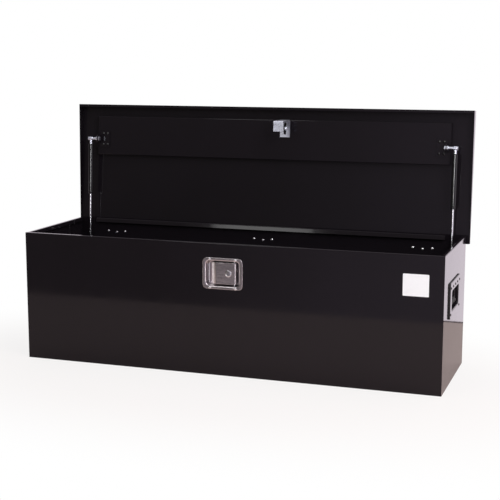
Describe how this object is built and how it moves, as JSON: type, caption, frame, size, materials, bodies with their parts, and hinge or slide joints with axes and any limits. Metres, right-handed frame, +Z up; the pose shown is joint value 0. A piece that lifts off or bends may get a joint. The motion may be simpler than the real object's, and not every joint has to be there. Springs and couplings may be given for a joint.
{
  "type": "jobsite storage box",
  "caption": "Long low lockable steel storage box with a hinged lid on gas struts, a recessed paddle latch and recessed folding handles in its ends.",
  "frame": {"origin": "middle of the base, on the ground", "axes": "+Z up, +X to the right hand of someone facing the front, +Y to the back"},
  "size_m": [1.24, 0.4072, 0.7283],
  "materials": {
    "black_gloss_paint": "gloss black powder coat",
    "black_rivet": "gloss black",
    "bright_rivet": "bright zinc plate",
    "zinc_steel": "bright zinc plate",
    "zinc_casting": "zinc die casting",
    "stainless_steel": "polished pressed sheet",
    "chromed_lock": "bright chrome",
    "chromed_rod": "ground and chromed",
    "strut_paint": "gloss black",
    "spring_wire": "drawn wire",
    "black_rubber": "matt",
    "white_label": "matt, blank"
  },
  "bodies": {
    "box": {"front_panel": "black_gloss_paint", "rear_panel": "black_gloss_paint", "floor_panel": "black_gloss_paint", "left_end_panel": "black_gloss_paint", "right_end_panel": "black_gloss_paint", "blank_label": "white_label", "hinge_body_rivets": "bright_rivet", "latch_pan": "stainless_steel", "latch_rivets": "bright_rivet", "paddle_pin": "chromed_lock", "bolt_housing": "zinc_casting", "bolt_spring": "spring_wire", "left_hinge_body_leaf": "black_gloss_paint", "middle_hinge_body_leaf": "black_gloss_paint", "right_hinge_body_leaf": "black_gloss_paint", "left_hinge_pin": "zinc_steel", "middle_hinge_pin": "zinc_steel", "right_hinge_pin": "zinc_steel", "left_strut_anchor": "zinc_steel", "left_handle_plate": "black_gloss_paint", "left_handle_pins": "bright_rivet", "left_handle_rivets": "black_rivet", "right_strut_anchor": "zinc_steel", "right_handle_plate": "black_gloss_paint", "right_handle_pins": "bright_rivet", "right_handle_rivets": "black_rivet"},
    "lid": {"lid_pan": "black_gloss_paint", "lid_stiffener": "black_gloss_paint", "striker": "zinc_steel", "striker_fasteners": "zinc_steel", "hinge_lid_rivets": "bright_rivet", "strut_bracket_screws": "black_rivet", "left_hinge_lid_leaf": "black_gloss_paint", "middle_hinge_lid_leaf": "black_gloss_paint", "right_hinge_lid_leaf": "black_gloss_paint", "left_strut_lid_bracket": "black_gloss_paint", "left_strut_lid_stud": "zinc_steel", "right_strut_lid_bracket": "black_gloss_paint", "right_strut_lid_stud": "zinc_steel"},
    "left_barrel": {"left_strut_barrel": "strut_paint"},
    "left_rod": {"left_strut_rod": "chromed_rod"},
    "right_barrel": {"right_strut_barrel": "strut_paint"},
    "right_rod": {"right_strut_rod": "chromed_rod"},
    "paddle": {"paddle": "stainless_steel", "lock_sleeve": "chromed_lock"},
    "lock_plug": {"lock_plug": "chromed_lock"},
    "bolt": {"latch_bolt": "zinc_casting"},
    "left_handle": {"left_handle_bail": "black_gloss_paint", "left_handle_grip": "black_rubber"},
    "right_handle": {"right_handle_bail": "black_gloss_paint", "right_handle_grip": "black_rubber"}
  },
  "joints": [
    {"name": "lid_hinge", "type": "hinge", "parent": "box", "child": "lid", "pos_m": [0, 0.18125, 0.36], "axis": [1, 0, 0], "range_deg": [0, 94.8]},
    {"name": "left_strut_swing", "type": "hinge", "parent": "lid", "child": "left_barrel", "pos_m": [-0.572, 0.17971, 0.62255], "axis": [1, 0, 0], "range_deg": [-13.67, 0]},
    {"name": "left_strut_stroke", "type": "slide", "parent": "left_barrel", "child": "left_rod", "axis": [0, -0.0605, -0.9982], "range_m": [-0.09369, 0]},
    {"name": "right_strut_swing", "type": "hinge", "parent": "lid", "child": "right_barrel", "pos_m": [0.572, 0.17971, 0.62255], "axis": [1, 0, 0], "range_deg": [-13.67, 0]},
    {"name": "right_strut_stroke", "type": "slide", "parent": "right_barrel", "child": "right_rod", "axis": [0, -0.0605, -0.9982], "range_m": [-0.09369, 0]},
    {"name": "paddle_pull", "type": "hinge", "parent": "box", "child": "paddle", "pos_m": [0.031, -0.16725, 0.289], "axis": [0, 0, 1], "range_deg": [0, 24], "stiffness_Nm_per_rad": 0.3},
    {"name": "bolt_slide", "type": "slide", "parent": "box", "child": "bolt", "axis": [-1, 0, 0], "range_m": [0, 0.0121], "deforming": ["bolt_spring"]},
    {"name": "lock_turn", "type": "hinge", "parent": "paddle", "child": "lock_plug", "pos_m": [0.0155, -0.17425, 0.289], "axis": [0, 1, 0], "range_deg": [0, 90]},
    {"name": "left_handle_lift", "type": "hinge", "parent": "box", "child": "left_handle", "pos_m": [-0.6022, -0.017, 0.2505], "axis": [0, 1, 0], "range_deg": [0, 90]},
    {"name": "right_handle_lift", "type": "hinge", "parent": "box", "child": "right_handle", "pos_m": [0.6022, -0.017, 0.2505], "axis": [0, -1, 0], "range_deg": [0, 90]}
  ],
  "couplings": [
    {"joint": "left_strut_swing", "follows": "lid_hinge", "ratio": -0.14205},
    {"joint": "left_strut_stroke", "follows": "lid_hinge", "m_per_rad": -0.056326},
    {"joint": "right_strut_swing", "follows": "lid_hinge", "ratio": -0.14205},
    {"joint": "right_strut_stroke", "follows": "lid_hinge", "m_per_rad": -0.056326},
    {"joint": "bolt_slide", "follows": "paddle_pull", "m_per_rad": 0.028648}
  ]
}
